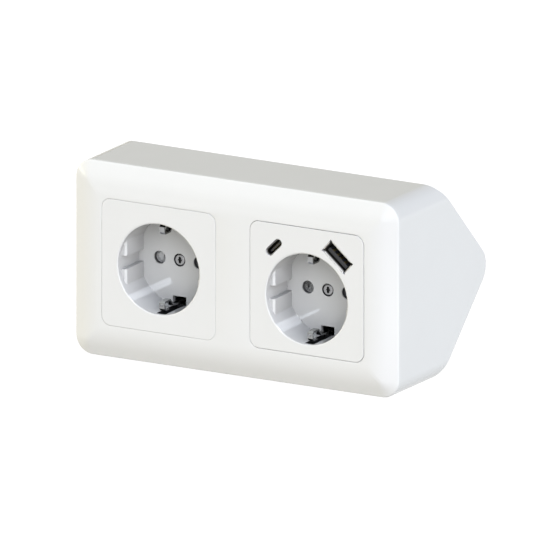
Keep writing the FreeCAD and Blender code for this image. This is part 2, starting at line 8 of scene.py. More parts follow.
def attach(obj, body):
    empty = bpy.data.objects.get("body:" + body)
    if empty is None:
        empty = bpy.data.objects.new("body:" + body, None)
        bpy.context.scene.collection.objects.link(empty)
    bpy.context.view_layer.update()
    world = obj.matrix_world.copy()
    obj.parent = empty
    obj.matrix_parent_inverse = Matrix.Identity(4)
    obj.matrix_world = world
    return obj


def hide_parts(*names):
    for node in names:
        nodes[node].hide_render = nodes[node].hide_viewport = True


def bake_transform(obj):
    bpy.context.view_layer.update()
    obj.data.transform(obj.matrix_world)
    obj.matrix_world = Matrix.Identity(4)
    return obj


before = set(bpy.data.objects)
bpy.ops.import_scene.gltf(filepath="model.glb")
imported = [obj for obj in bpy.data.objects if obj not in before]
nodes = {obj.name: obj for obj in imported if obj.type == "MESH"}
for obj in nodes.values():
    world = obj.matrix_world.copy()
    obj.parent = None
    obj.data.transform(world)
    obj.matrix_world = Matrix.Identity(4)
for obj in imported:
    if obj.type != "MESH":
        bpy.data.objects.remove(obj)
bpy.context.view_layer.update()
scene = bpy.context.scene

# Sizes of the unit, in millimetres, in its modelling frame: X right, Y back from the
# joint between frame and box, Z up from mid height. row() gives a point in metres in
# the frame that everything here shares.
SHIFT = (0.0, -33.25532829120242, 41.83)
W, H, R_OUT = 154.66, 83.66, 8.0
FRONT, LEDGE_F, STRAP_F = -5.07, -2.87, -1.2
OPENING, GANG = 55.0, 71.0
SLOPE, EDGE_R, LAND = 24.5, 0.93, 13.9
WELL_FLOOR = 12.43
XL, XR, DZ_R = -GANG / 2, GANG / 2, -3.33


def row(x, y, z):
    return Vector(((x + SHIFT[0]) / 1000, (y + SHIFT[1]) / 1000, (z + SHIFT[2]) / 1000))


# ------------------------------------------------------------------ camera
AZ, EL = math.radians(30.0), math.radians(15.0)
toward = Vector((math.sin(AZ) * math.cos(EL), -math.cos(AZ) * math.cos(EL), math.sin(EL)))
cam_data = bpy.data.cameras.new("camera")
cam_data.type = "ORTHO"
cam_data.ortho_scale = 0.22114
cam_data.clip_start, cam_data.clip_end = 0.05, 20.0
camera = bpy.data.objects.new("camera", cam_data)
scene.collection.objects.link(camera)
camera.location = row(13.37, 0.0, 6.705) + toward * 0.9
camera.rotation_mode = "QUATERNION"
camera.rotation_quaternion = (-toward).to_track_quat("-Z", "Y")
scene.camera = camera

scene.view_settings.view_transform = "Standard"
scene.view_settings.look = "None"
scene.cycles.diffuse_bounces = 0


# ------------------------------------------------------------------ shader helpers
class Tree:
    """A few short calls for building a node tree."""

    def __init__(self, tree):
        self.tree = tree
        self.n = tree.nodes
        self.link = tree.links.new

    def node(self, kind, **values):
        n = self.n.new(kind)
        for k, v in values.items():
            setattr(n, k, v)
        return n

    def noise(self, coords, scale, detail=3.0, rough=0.5, distortion=0.0):
        t = self.node("ShaderNodeTexNoise")
        t.inputs["Scale"].default_value = scale
        t.inputs["Detail"].default_value = detail
        t.inputs["Roughness"].default_value = rough
        t.inputs["Distortion"].default_value = distortion
        self.link(coords, t.inputs["Vector"])
        return t.outputs["Fac"]

    def stretch(self, coords, scale, turn=(0.0, 0.0, 0.0)):
        m = self.node("ShaderNodeMapping")
        m.inputs["Scale"].default_value = scale
        m.inputs["Rotation"].default_value = turn
        self.link(coords, m.inputs["Vector"])
        return m.outputs["Vector"]

    def remap(self, value, lo, hi, from_lo=0.3, from_hi=0.7):
        m = self.node("ShaderNodeMapRange")
        m.inputs["From Min"].default_value = from_lo
        m.inputs["From Max"].default_value = from_hi
        m.inputs["To Min"].default_value = lo
        m.inputs["To Max"].default_value = hi
        self.link(value, m.inputs["Value"])
        return m.outputs["Result"]

    def blend(self, fac, a, b):
        m = self.node("ShaderNodeMix", data_type="RGBA")
        self.link(fac, m.inputs["Factor"])
        for socket, v in ((m.inputs[6], a), (m.inputs[7], b)):
            if isinstance(v, (tuple, list)):
                socket.default_value = (*v[:3], 1.0)
            else:
                self.link(v, socket)
        return m.outputs[2]

    def maths(self, op, a, b=None, c=None):
        m = self.node("ShaderNodeMath", operation=op)
        for i, v in enumerate((a, b, c)):
            if v is None:
                continue
            if isinstance(v, (int, float)):
                m.inputs[i].default_value = v
            else:
                self.link(v, m.inputs[i])
        return m.outputs[0]

    def bump(self, height, distance, strength=1.0, normal=None):
        b = self.node("ShaderNodeBump")
        b.inputs["Strength"].default_value = strength
        b.inputs["Distance"].default_value = distance
        self.link(height, b.inputs["Height"])
        if normal is not None:
            self.link(normal, b.inputs["Normal"])
        return b.outputs["Normal"]


def surface(name):
    m = bpy.data.materials.new(name)
    m.use_nodes = True
    t = Tree(m.node_tree)
    shader = t.n["Principled BSDF"]
    coords = t.node("ShaderNodeTexCoord").outputs["Object"]
    return m, t, shader, coords


def glossy_plastic(name, colour, rough=(0.10, 0.14), warm=0.012, grain=1.0):
    """Polished injection moulding: nearly even white, faint flow clouds, a very fine skin."""
    m, t, s, co = surface(name)
    cloud = t.noise(co, 55.0, 2.0, 0.5, 0.6)
    fine = t.noise(co, 3800.0, 3.0, 0.55)
    wave = t.noise(co, 120.0, 1.0, 0.4)
    a = tuple(c * (1 - warm) for c in colour)
    t.link(t.blend(t.remap(cloud, 0.0, 1.0), a, colour), s.inputs["Base Color"])
    t.link(t.remap(t.noise(co, 700.0, 3.0), *rough), s.inputs["Roughness"])
    n = t.bump(wave, 0.00001 * grain, 0.5)
    t.link(t.bump(fine, 0.0000016 * grain, 0.5, n), s.inputs["Normal"])
    s.inputs["IOR"].default_value = 1.5
    return m


def satin_plastic(name, colour, rough=(0.36, 0.46), grain=1.0, vary=0.06):
    """Spark-eroded moulding: fine even grain, slightly uneven gloss."""
    m, t, s, co = surface(name)
    cloud = t.noise(co, 90.0, 3.0, 0.5, 0.4)
    a = tuple(c * (1 - vary) for c in colour)
    t.link(t.blend(t.remap(cloud, 0.0, 1.0), a, colour), s.inputs["Base Color"])
    t.link(t.remap(t.noise(co, 900.0, 3.0), *rough), s.inputs["Roughness"])
    t.link(t.bump(t.noise(co, 5200.0, 3.0, 0.6), 0.000012 * grain, 0.6), s.inputs["Normal"])
    s.inputs["IOR"].default_value = 1.49
    return m


def sheet_metal(name, colour, rough=(0.2, 0.32), along=(1.0, 18.0, 18.0), stain=0.12, tint=None):
    """Rolled and plated strip: fine lines along the rolling direction, light and dark patches."""
    m, t, s, co = surface(name)
    lines = t.noise(t.stretch(co, along), 420.0, 5.0, 0.62)
    cloud = t.noise(co, 160.0, 4.0, 0.55, 0.5)
    dark = tint or tuple(c * (1 - stain) for c in colour)
    c = t.blend(t.remap(cloud, 0.0, 1.0), dark, colour)
    c2 = t.blend(t.remap(lines, 0.0, 0.35), c, tuple(min(1.0, v * 1.08) for v in colour))
    t.link(c2, s.inputs["Base Color"])
    t.link(t.remap(lines, *rough), s.inputs["Roughness"])
    t.link(t.bump(lines, 0.000006, 0.45), s.inputs["Normal"])
    s.inputs["Metallic"].default_value = 1.0
    return m


def plated(name, colour, rough=(0.12, 0.22), stain=0.10):
    """Turned or pressed part with a bright coating: tiny pits and clouds."""
    m, t, s, co = surface(name)
    cloud = t.noise(co, 420.0, 4.0, 0.55, 0.4)
    pits = t.noise(co, 6500.0, 2.0, 0.5)
    t.link(t.blend(t.remap(cloud, 0.0, 1.0), tuple(c * (1 - stain) for c in colour), colour), s.inputs["Base Color"])
    t.link(t.remap(cloud, *rough), s.inputs["Roughness"])
    t.link(t.bump(pits, 0.000004, 0.5), s.inputs["Normal"])
    s.inputs["Metallic"].default_value = 1.0
    return m


def plated_painted_darker_deep(name, colour, y_from, y_to, shade_level=0.16, rough=(0.20, 0.32)):
    """Plated part painted darker deeper in, between two planes of Y: painted shade in the recess behind its front face,
    with the roughness raised there too.
    """
    m, t, s, co = surface(name)
    cloud = t.noise(co, 420.0, 4.0, 0.55, 0.4)
    sep = t.node("ShaderNodeSeparateXYZ")
    t.link(co, sep.inputs[0])
    # deep runs from 0 to 1 into the recess; the colour darkens with it as painted shade
    deep = t.remap(sep.outputs["Y"], 0.0, 1.0, y_from, y_to)
    c = t.blend(t.remap(cloud, 0.0, 1.0), tuple(v * 0.9 for v in colour), colour)
    t.link(t.blend(deep, c, tuple(v * shade_level for v in colour)), s.inputs["Base Color"])
    t.link(t.maths("MULTIPLY_ADD", deep, 0.25, t.remap(cloud, *rough)), s.inputs["Roughness"])
    t.link(t.bump(t.noise(co, 6500.0, 2.0, 0.5), 0.000004, 0.5), s.inputs["Normal"])
    s.inputs["Metallic"].default_value = 1.0
    return m


def rubber(name, colour):
    m, t, s, co = surface(name)
    speck = t.noise(co, 2600.0, 4.0, 0.65)
    t.link(t.blend(t.remap(speck, 0.0, 1.0), tuple(c * 0.86 for c in colour), colour), s.inputs["Base Color"])
    t.link(t.remap(t.noise(co, 300.0, 3.0), 0.62, 0.78), s.inputs["Roughness"])
    t.link(t.bump(speck, 0.00002, 0.6), s.inputs["Normal"])
    return m


def circuit_board(name):
    """Green mask over glass cloth, with raised copper tracks under it."""
    m, t, s, co = surface(name)
    flat = t.stretch(co, (1.0, 0.0, 1.0))
    brick = t.node("ShaderNodeTexBrick")
    brick.inputs["Scale"].default_value = 260.0
    brick.inputs["Mortar Size"].default_value = 0.06
    brick.inputs["Mortar Smooth"].default_value = 0.3
    brick.inputs["Brick Width"].default_value = 1.7
    brick.inputs["Row Height"].default_value = 0.5
    turned = t.stretch(flat, (1.0, 1.0, 1.0), (math.radians(90), 0.0, 0.0))
    t.link(turned, brick.inputs["Vector"])
    weave = t.noise(t.stretch(co, (1.0, 1.0, 3.0)), 2400.0, 3.0)
    c = t.blend(brick.outputs["Fac"], (0.035, 0.20, 0.10), (0.05, 0.33, 0.16))
    t.link(t.blend(t.remap(weave, 0.0, 0.5), c, (0.03, 0.17, 0.08)), s.inputs["Base Color"])
    t.link(t.remap(weave, 0.24, 0.4), s.inputs["Roughness"])
    n = t.bump(brick.outputs["Fac"], 0.00003, 0.6)
    t.link(t.bump(weave, 0.000008, 0.5, n), s.inputs["Normal"])
    s.inputs["Coat Weight"].default_value = 0.35
    s.inputs["Coat Roughness"].default_value = 0.12
    return m


def winding(name):
    """Enamelled wire laid turn by turn."""
    m, t, s, co = surface(name)
    w = t.node("ShaderNodeTexWave", wave_type="RINGS", rings_direction="Y", wave_profile="SIN")
    w.inputs["Scale"].default_value = 900.0
    w.inputs["Distortion"].default_value = 0.6
    w.inputs["Detail"].default_value = 1.0
    t.link(co, w.inputs["Vector"])
    t.link(t.blend(w.outputs["Fac"], (0.34, 0.13, 0.05), (0.75, 0.36, 0.17)), s.inputs["Base Color"])
    t.link(t.bump(w.outputs["Fac"], 0.00008, 0.8), s.inputs["Normal"])
    t.link(t.remap(w.outputs["Fac"], 0.2, 0.35, 0.0, 1.0), s.inputs["Roughness"])
    s.inputs["Metallic"].default_value = 0.85
    s.inputs["Coat Weight"].default_value = 0.4
    return m


def sintered(name):
    m, t, s, co = surface(name)
    g = t.noise(co, 3000.0, 5.0, 0.7)
    t.link(t.blend(t.remap(g, 0.0, 1.0), (0.035, 0.035, 0.038), (0.10, 0.10, 0.105)), s.inputs["Base Color"])
    t.link(t.remap(g, 0.5, 0.75), s.inputs["Roughness"])
    t.link(t.bump(g, 0.00003, 0.7), s.inputs["Normal"])
    return m


def sleeve(name):
    """Shrunk sleeve on a can, with a bare disc where the end faces back."""
    m, t, s, co = surface(name)
    geo = t.node("ShaderNodeNewGeometry")
    sep = t.node("ShaderNodeSeparateXYZ")
    t.link(geo.outputs["True Normal"], sep.inputs[0])
    end = t.maths("GREATER_THAN", sep.outputs["Y"], 0.9)
    g = t.noise(co, 500.0, 3.0)
    t.link(t.blend(end, t.blend(t.remap(g, 0.0, 1.0), (0.02, 0.025, 0.05), (0.035, 0.04, 0.075)), (0.66, 0.67, 0.69)), s.inputs["Base Color"])
    t.link(end, s.inputs["Metallic"])
    t.link(t.remap(g, 0.25, 0.4), s.inputs["Roughness"])
    t.link(t.bump(g, 0.00001, 0.5), s.inputs["Normal"])
    return m


MATS = {
    "box_plastic": glossy_plastic("box_plastic", (0.76, 0.76, 0.755), (0.09, 0.13), grain=0.8),
    "frame_plastic": glossy_plastic("frame_plastic", (0.78, 0.78, 0.775), (0.07, 0.10), grain=0.6),
    "insert_plastic": glossy_plastic("insert_plastic", (0.772, 0.772, 0.768), (0.05, 0.07), grain=0.35),
    "base_plastic": satin_plastic("base_plastic", (0.30, 0.30, 0.30)),
    "shutter_grey": satin_plastic("shutter_grey", (0.72, 0.725, 0.73), (0.22, 0.32)),
    "grommet_rubber": rubber("grommet_rubber", (0.42, 0.42, 0.41)),
    "zinc_steel": plated("zinc_steel", (0.62, 0.63, 0.64), (0.20, 0.32)),
    "contact_brass": sheet_metal("contact_brass", (0.78, 0.60, 0.28), tint=(0.60, 0.42, 0.18)),
    "spring_bronze": sheet_metal("spring_bronze", (0.37, 0.375, 0.38), (0.10, 0.20), (18.0, 1.0, 18.0), 0.55),
    "spring_steel": plated("spring_steel", (0.55, 0.55, 0.56), (0.22, 0.34)),
    # the port's shell is painted darker from 0.35 mm to 0.9 mm behind the front: painted shade inside the opening
    "port_steel": plated_painted_darker_deep(
        "port_steel", (0.80, 0.775, 0.72), row(0, FRONT + 0.35, 0).y, row(0, FRONT + 0.9, 0).y, 0.08, (0.20, 0.32)
    ),
    "port_black": satin_plastic("port_black", (0.035, 0.035, 0.038), (0.35, 0.45)),
    "gold_contact": sheet_metal("gold_contact", (0.50, 0.40, 0.17), (0.26, 0.38), (1.0, 18.0, 1.0), tint=(0.36, 0.27, 0.10)),
    "board_green": circuit_board("board_green"),
    "charger_plastic": satin_plastic("charger_plastic", (0.05, 0.05, 0.055)),
    "ferrite": sintered("ferrite"),
    "capacitor_can": sleeve("capacitor_can"),
    "copper_winding": winding("copper_winding"),
    "chip_black": satin_plastic("chip_black", (0.025, 0.025, 0.028), (0.45, 0.6)),
}


# ------------------------------------------------------------------ carried-over pieces
def tree_in_out(name):
    g = bpy.data.node_groups.new(name, "GeometryNodeTree")
    g.interface.new_socket("Geometry", in_out="INPUT", socket_type="NodeSocketGeometry")
    g.interface.new_socket("Geometry", in_out="OUTPUT", socket_type="NodeSocketGeometry")
    return g, g.nodes.new("NodeGroupInput"), g.nodes.new("NodeGroupOutput")


def join_up_group():
    """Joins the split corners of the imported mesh, so that its edges can be rounded."""
    g, i, o = tree_in_out("join_up")
    r = g.nodes.new("GeometryNodeRemoveAttribute")
    r.inputs["Name"].default_value = "custom_normal"
    m = g.nodes.new("GeometryNodeMergeByDistance")
    m.inputs["Distance"].default_value = 2e-6
    s = g.nodes.new("GeometryNodeSetShadeSmooth")
    g.links.new(i.outputs[0], r.inputs["Geometry"])
    g.links.new(r.outputs["Geometry"], m.inputs["Geometry"])
    g.links.new(m.outputs["Geometry"], s.inputs["Geometry"])
    g.links.new(s.outputs["Geometry"], o.inputs[0])
    return g


def sharp_group(degrees):
    """Marks edges over that angle as sharp."""
    g, i, o = tree_in_out("sharp_edges")
    a = g.nodes.new("GeometryNodeInputMeshEdgeAngle")
    c = g.nodes.new("FunctionNodeCompare")
    c.data_type, c.operation = "FLOAT", "GREATER_THAN"
    c.inputs[1].default_value = math.radians(degrees)
    s = g.nodes.new("GeometryNodeStoreNamedAttribute")
    s.data_type, s.domain = "BOOLEAN", "EDGE"
    s.inputs["Name"].default_value = "sharp_edge"
    g.links.new(a.outputs["Unsigned Angle"], c.inputs[0])
    g.links.new(c.outputs[0], s.inputs["Value"])
    g.links.new(i.outputs[0], s.inputs["Geometry"])
    g.links.new(s.outputs["Geometry"], o.inputs[0])
    return g


def cut_group(name, rings=(), boxes=(), pits=()):
    """Cuts ring grooves and round pits, with their axes along Y, and boxes out of the geometry."""
    g, i, o = tree_in_out(name)

    def drum(radius, at, y_a, y_b):
        c = g.nodes.new("GeometryNodeMeshCylinder")
        c.inputs["Vertices"].default_value = 48
        c.inputs["Radius"].default_value = radius / 1000
        c.inputs["Depth"].default_value = (y_b - y_a) / 1000
        t = g.nodes.new("GeometryNodeTransform")
        t.inputs["Rotation"].default_value = (math.radians(90), 0.0, 0.0)
        t.inputs["Translation"].default_value = row(at[0], (y_a + y_b) / 2, at[1])
        g.links.new(c.outputs["Mesh"], t.inputs["Geometry"])
        return t.outputs["Geometry"]

    def less(a, b):
        n = g.nodes.new("GeometryNodeMeshBoolean")
        n.operation = "DIFFERENCE"
        n.solver = "EXACT"
        g.links.new(a, n.inputs["Mesh 1"])
        g.links.new(b, n.inputs["Mesh 2"])
        return n.outputs["Mesh"]

    def block(x0, x1, y0, y1, z0, z1):
        c = g.nodes.new("GeometryNodeMeshCube")
        c.inputs["Size"].default_value = ((x1 - x0) / 1000, (y1 - y0) / 1000, (z1 - z0) / 1000)
        t = g.nodes.new("GeometryNodeTransform")
        t.inputs["Translation"].default_value = row((x0 + x1) / 2, (y0 + y1) / 2, (z0 + z1) / 2)
        g.links.new(c.outputs["Mesh"], t.inputs["Geometry"])
        return t.outputs["Geometry"]

    geo = i.outputs[0]
    for at, r_in, r_out, y0, y1 in rings:
        geo = less(geo, less(drum(r_out, at, y0, y1), drum(r_in, at, y0 - 1, y1 + 1)))
    for b in boxes:
        geo = less(geo, block(*b))
    for at, r, y0, y1 in pits:
        geo = less(geo, drum(r, at, y0, y1))
    g.links.new(geo, o.inputs[0])
    return g


JOIN_UP = join_up_group()
SHARP = sharp_group(42.0)
CUTS = {}
for side, cx, cz in (("left", XL, 0.0), ("right", XR, DZ_R)):
    # a groove round the place under each pin hole, where the pin's tip lands on the shutter
    CUTS[side + "_shutter"] = cut_group(
        side + "_grooves", [((cx + s * 9.5, cz), 1.95, 3.0, 13.9, 16.5) for s in (-1, 1)]
    )
    # a window in the face of the lower earth clip
    CUTS[side + "_earth_strip"] = cut_group(
        side + "_window", (),
        [(cx - 1.6, cx + 0.55, -2.6, -1.0, cz - 16.15 - 0.33, cz - 16.15 + 0.33)],
    )
# relief holes at the corners of the USB type A opening
USB_TURN = math.radians(-40.5)
CUTS["right_socket_cover"] = cut_group(
    "outlet_corners",
    pits=[
        (
            (
                XR + 14.65 + u * math.cos(USB_TURN) - w * math.sin(USB_TURN),
                16.75 + u * math.sin(USB_TURN) + w * math.cos(USB_TURN),
            ),
            0.36, FRONT - 0.5, FRONT + 2.6,
        )
        for u in (-6.75, 6.75) for w in (-3.05, 3.05)
    ],
)


def round_edges(o, width_mm, segments=2, angle=30.0):
    m = o.modifiers.new("join_up", "NODES")
    m.node_group = JOIN_UP
    if o.name in CUTS:
        m = o.modifiers.new("cuts", "NODES")
        m.node_group = CUTS[o.name]
    d = o.modifiers.new("planar", "DECIMATE")
    d.decimate_type, d.angle_limit = "DISSOLVE", math.radians(0.3)
    b = o.modifiers.new("edges", "BEVEL")
    b.width, b.segments = width_mm / 1000, segments
    b.limit_method, b.angle_limit = "ANGLE", math.radians(angle)
    b.use_clamp_overlap = False
    b.miter_outer = "MITER_SHARP"
    n = o.modifiers.new("sharp", "NODES")
    n.node_group = SHARP
    w = o.modifiers.new("weighted", "WEIGHTED_NORMAL")
    w.keep_sharp = True


ROUND = {
    "corner_box": (0.30, 3),
    "left_socket_cover": (0.12, 2),
    "right_socket_cover": (0.12, 2),
    "left_mounting_strap": (0.10, 1),
    "right_mounting_strap": (0.10, 1),
    "left_contact_base": (0.12, 1),
    "right_contact_base": (0.12, 1),
    "left_rear_cover": (0.12, 1),
    "right_rear_cover": (0.12, 1),
    "left_earth_strip": (0.08, 2),
    "right_earth_strip": (0.08, 2),
    "left_shutter": (0.08, 1),
    "right_shutter": (0.08, 1),
    "usb_a_shell": (0.05, 1),
    "usb_a_tongue": (0.05, 1),
    "usb_c_shell": (0.05, 1),
    "usb_c_tongue": (0.05, 1),
    "charger_lid": (0.12, 1),
    "charger_tray": (0.15, 2),
}
for name, node in nodes.items():
    slot_name = node.material_slots[0].material.name
    node.material_slots[0].material = MATS[slot_name]
    if name in ROUND:
        round_edges(node, *ROUND[name])


# ------------------------------------------------------------------ the cover frame
def new_piece(name, bm, slot_name, body, replaced=(), material=None):
    bmesh.ops.recalc_face_normals(bm, faces=bm.faces)
    me = bpy.data.meshes.new(name)
    bm.to_mesh(me)
    bm.free()
    for p in me.polygons:
        p.use_smooth = True
    me.set_sharp_from_angle(angle=math.radians(42.0))
    o = bpy.data.objects.new(name, me)
    scene.collection.objects.link(o)
    me.materials.append(material or MATS[slot_name])
    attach(o, body)
    if replaced:
        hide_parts(*replaced)
    return o


def rounded_loop(w, h, r, cx=0.0, cz=0.0, arc=20, nx=20, nz=10):
    """Points of a rounded rectangle, the same number whatever its size."""
    a, b = w / 2 - r, h / 2 - r
    pts = []
    corners = [((a, -b), -90), ((a, b), 0), ((-a, b), 90), ((-a, -b), 180)]
    for k, ((x, z), start) in enumerate(corners):
        for j in range(arc + 1):
            t = math.radians(start + 90.0 * j / arc)
            pts.append((cx + x + r * math.cos(t), cz + z + r * math.sin(t)))
        (x2, z2), s2 = corners[(k + 1) % 4]
        t = math.radians(s2)
        p, q = pts[-1], (cx + x2 + r * math.cos(t), cz + z2 + r * math.sin(t))
        n = nz if k % 2 == 0 else nx
        for j in range(1, n):
            u = j / n
            pts.append((p[0] + (q[0] - p[0]) * u, p[1] + (q[1] - p[1]) * u))
    return pts


def frame_profile():
    """Front of the frame, as (distance inside the outline, Y): a small round at the
    outline, a straight slope, and a long arc that runs out flat at the openings."""
    tilt, r, flat_from = math.radians(SLOPE), EDGE_R, 4.0
    big = (LAND - flat_from) / math.sin(tilt)
    y_arc = FRONT + big * (1 - math.cos(tilt))
    y_edge = y_arc + math.tan(tilt) * (flat_from - r * (1 - math.sin(tilt)))
    yc = y_edge + r * math.cos(tilt)
    pts = []
    for k in range(11):
        t = math.radians(90.0) + (tilt - math.radians(90.0)) * k / 10
        pts.append((r * (1 - math.sin(t)), yc - r * math.cos(t)))
    i0 = pts[-1][0]
    for k in range(1, 5):
        i = i0 + (flat_from - 0.3 - i0) * k / 4
        pts.append((i, y_arc + math.tan(tilt) * (flat_from - i)))
    for k in range(0, 25):
        t = tilt * (1 - k / 24)
        pts.append((LAND - big * math.sin(t), FRONT + big * (1 - math.cos(t))))
    return pts


def frame_r(i):
    return max(1.5, R_OUT - i)


def build_frame():
    bm = bmesh.new()

    def loop(w, h, r, y, cx=0.0, cz=0.0, **k):
        return [bm.verts.new(row(x, y, z)) for x, z in rounded_loop(w, h, r, cx, cz, **k)]

    def skin(a, b):
        n = len(a)
        for j in range(n):
            bm.faces.new((a[j], a[(j + 1) % n], b[(j + 1) % n], b[j]))

    def edges_of(ring):
        n = len(ring)
        return [bm.edges.get((ring[j], ring[(j + 1) % n])) or bm.edges.new((ring[j], ring[(j + 1) % n])) for j in range(n)]

    # outer body, from the back of the plate round the lip and the rim to the front land
    outer = [loop(W - 7.4, H - 7.4, 4.3, STRAP_F), loop(W - 7.4, H - 7.4, 4.3, 1.0)]
    outer.append(loop(W - 7.0, H - 7.0, 4.5, 1.2))
    outer.append(loop(W - 5.8, H - 5.8, 5.1, 1.2))
    outer.append(loop(W - 5.4, H - 5.4, 5.3, 1.0))
    outer.append(loop(W - 5.4, H - 5.4, 5.3, 0.0))
    outer.append(loop(W - 0.3, H - 0.3, R_OUT - 0.15, 0.0))
    outer.append(loop(W - 0.1, H - 0.1, R_OUT - 0.05, -0.04))
    outer.append(loop(W, H, R_OUT, -0.14))
    for i, y in frame_profile():
        outer.append(loop(W - 2 * i, H - 2 * i, frame_r(i), y))
    for a, b in zip(outer, outer[1:]):
        skin(a, b)
    front_edges, back_edges = edges_of(outer[-1]), edges_of(outer[0])
    # How far each opening's edge is eased, and how far it closes on its insert behind the
    # edge: left, right, bottom, top. The right one is looser on its right and at its top.
    # The groove's depth is that at the middle, and what it gains to the right and the top.
    for cx, ease, lip, (deep, by_x, by_z) in (
        (XL, (0.25, 0.10, 0.25, 0.18), (0.30, 0.22, 0.30, 0.17), (0.09, 0.05, 0.07)),
        (XR, (0.10, 0.16, 0.10, 0.14), (0.24, 0.0, 0.17, 0.0), (0.13, 0.055, -0.025)),
    ):

        def mouth(grow, y, part=0.0):
            a, b, c, d = grow
            ring = loop(
                OPENING + a + b, OPENING + c + d, 4.5 + (a + b + c + d) / 4, y,
                cx + (b - a) / 2, (d - c) / 2, arc=16, nx=8, nz=8,
            )
            for v in ring:
                u, w = v.co.x * 1000 - SHIFT[0] - cx, v.co.z * 1000 - SHIFT[2]
                v.co.y += part * max(0.012, deep + by_x * u / 27.5 + by_z * w / 27.5) / 1000
            return ring

        rings = []
        for j in range(5):
            t = math.radians(90.0 * j / 4)
            rings.append(mouth([e * (1 - math.sin(t)) for e in ease], FRONT, 0.75 * (1 - math.cos(t))))
        rings.append(mouth([-0.04 if p else 0.0 for p in lip], FRONT, 0.85))
        rings.append(mouth([-p for p in lip], FRONT, 1.0))
        rings.append(mouth([-min(p, 0.19) for p in lip], FRONT + 0.015, 1.0))
        rings.append(mouth([-min(p, 0.19) for p in lip], FRONT + 1.1))
        rings.append(mouth([0.0] * 4, FRONT + 1.2))
        rings.append(mouth([0.0] * 4, LEDGE_F))
        k = dict(cx=cx, arc=16, nx=8, nz=8)
        rings.append(loop(50.6, 50.6, 2.0, LEDGE_F, **k))
        rings.append(loop(50.6, 50.6, 2.0, STRAP_F, **k))
        for a, b in zip(rings, rings[1:]):
            skin(a, b)
        front_edges += edges_of(rings[0])
        back_edges += edges_of(rings[-1])
    for es in (front_edges, back_edges):
        bmesh.ops.triangle_fill(bm, use_beauty=True, use_dissolve=False, edges=es)
    return new_piece("two_gang_frame_front", bm, "frame_plastic", "housing", ("two_gang_frame",))


cover_frame = build_frame()


# ------------------------------------------------------------------ centre screws of the wells
def recess_reach(t, half_w, half_l, upright):
    """How far a bar with round ends reaches from its middle in direction t."""
    c, s = abs(math.cos(t)), abs(math.sin(t))
    along, across = (s, c) if upright else (c, s)
    straight = half_l - half_w
    if across > 1e-9 and half_w / across * along <= straight:
        return half_w / across
    # round end of radius half_w about (straight, 0)
    b = straight * along
    return b + math.sqrt(max(0.0, b * b - straight * straight + half_w * half_w))


def build_screws():
    bm = bmesh.new()
    n = 96
    for cx, cz in ((XL, 0.0), (XR, DZ_R)):
        turn = [2 * math.pi * j / n for j in range(n)]
        slot_r = [max(recess_reach(t, 0.55, 1.42, True), recess_reach(t, 0.24, 0.98, False)) for t in turn]
        y0 = WELL_FLOOR + 0.2

        def ring(radii, y):
            return [bm.verts.new(row(cx + r * math.cos(t), y, cz + r * math.sin(t))) for t, r in zip(turn, radii)]

        rings = [
            ring([r * 0.62 for r in slot_r], y0 + 0.95),
            ring([r * 0.90 for r in slot_r], y0 + 0.85),
            ring([r * 0.97 for r in slot_r], y0 + 0.12),
            ring([r + 0.02 for r in slot_r], y0 + 0.05),
            ring([r + 0.07 for r in slot_r], y0 + 0.02),
            ring([max(r + 0.12, 1.5) for r in slot_r], y0 + 0.01),
            ring([1.82] * n, y0 + 0.0),
            ring([1.98] * n, y0 + 0.02),
            ring([2.12] * n, y0 + 0.06),
            ring([2.24] * n, y0 + 0.15),
            ring([2.32] * n, y0 + 0.27),
            ring([2.35] * n, y0 + 0.42),
            ring([2.35] * n, y0 + 0.94),
            ring([2.28] * n, y0 + 1.0),
            ring([1.5] * n, y0 + 1.0),
            ring([1.3] * n, y0 + 1.15),
        ]
        y = y0 + 1.35
        while y < 25.6:
            rings.append(ring([1.26] * n, y))
            rings.append(ring([1.45] * n, y + 0.22))
            rings.append(ring([1.45] * n, y + 0.30))
            rings.append(ring([1.26] * n, y + 0.52))
            y += 0.6
        rings.append(ring([1.2] * n, 26.2))
        rings.append(ring([0.62] * n, 27.2))
        for a, b in zip(rings, rings[1:]):
            for j in range(n):
                bm.faces.new((a[j], a[(j + 1) % n], b[(j + 1) % n], b[j]))
        bm.faces.new(rings[0])
        bm.faces.new(rings[-1])
    head = row(0, WELL_FLOOR + 0.2, 0).y
    # the head is painted darker below its front face, in its recess and slot and towards its rim: painted shade
    mat = plated_painted_darker_deep("screw_steel_recess_shade", (0.33, 0.33, 0.335), head + 0.0001, head + 0.0003, 0.10)
    return new_piece("cover_screws_turned", bm, "zinc_steel", "housing", ("cover_screws",), mat)


def build_shade_rings():
    """Thin dark ring round each screw head, in the step of the cover, standing in for the shade in the counterbore; it
    is painted darker still deeper in.
    """
    bm = bmesh.new()
    n = 72
    for cx, cz in ((XL, 0.0), (XR, DZ_R)):
        section = [(2.70, 0.20), (2.72, 0.16), (2.66, 0.13), (2.60, 0.17), (2.52, 0.34), (2.48, 0.55), (2.48, 1.05), (2.46, 1.10), (2.46, 1.18), (2.72, 1.18)]
        rings = []
        for r, y in section:
            rings.append([
                bm.verts.new(row(cx + r * math.cos(2 * math.pi * j / n), WELL_FLOOR + y, cz + r * math.sin(2 * math.pi * j / n)))
                for j in range(n)
            ])
        for a, b in zip(rings, rings[1:] + rings[:1]):
            for j in range(n):
                bm.faces.new((a[j], a[(j + 1) % n], b[(j + 1) % n], b[j]))
    # a dark ring, painted darker still below its front: painted shade round the screw head
    mat = plated_painted_darker_deep("shade_ring_steel", (0.16, 0.16, 0.165), row(0, WELL_FLOOR + 0.15, 0).y, row(0, WELL_FLOOR + 0.35, 0).y, 0.35)
    return new_piece("screw_shade_rings", bm, "spring_steel", "housing", (), mat)


